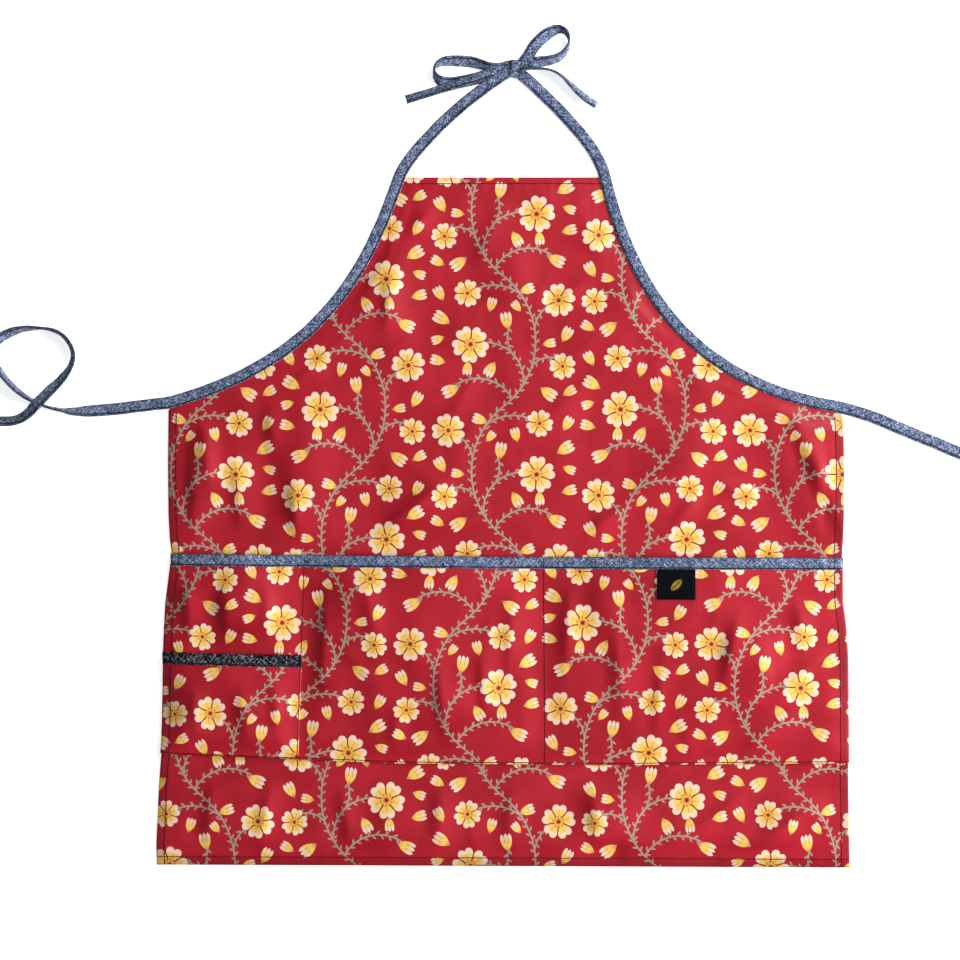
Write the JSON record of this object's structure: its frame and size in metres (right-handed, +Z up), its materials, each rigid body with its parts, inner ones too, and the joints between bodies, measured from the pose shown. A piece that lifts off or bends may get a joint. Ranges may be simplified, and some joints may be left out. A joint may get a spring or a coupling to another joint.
{
  "type": "bib apron",
  "caption": "Bib apron of printed laminated cotton laid flat, with taped armholes, neck straps tied in a bow, waist ties and a divided pocket panel with a small patch pocket",
  "frame": {"origin": "on the surface the apron lies on, under the middle of its waist", "axes": "+X across the apron to the right as seen from its front, +Y from the hem to the neck, +Z up from the surface, out of the apron's front"},
  "size_m": [1.0004, 0.8385, 0.0199],
  "materials": {
    "printed_cloth": "soft gloss, laminated print",
    "chambray": "matte woven",
    "dark_denim": "matte woven",
    "label": "matte woven"
  },
  "bodies": {
    "root": {"body": "printed_cloth", "pocket_panel": "printed_cloth", "pocket_binding": "chambray", "small_pocket": "printed_cloth", "small_pocket_binding": "dark_denim", "label": "label", "tape_left": "chambray", "tape_right": "chambray", "bow_loop_left": "chambray", "bow_tail_left": "chambray", "bow_loop_right": "chambray", "bow_tail_right": "chambray", "bow_knot": "chambray"}
  },
  "joints": []
}
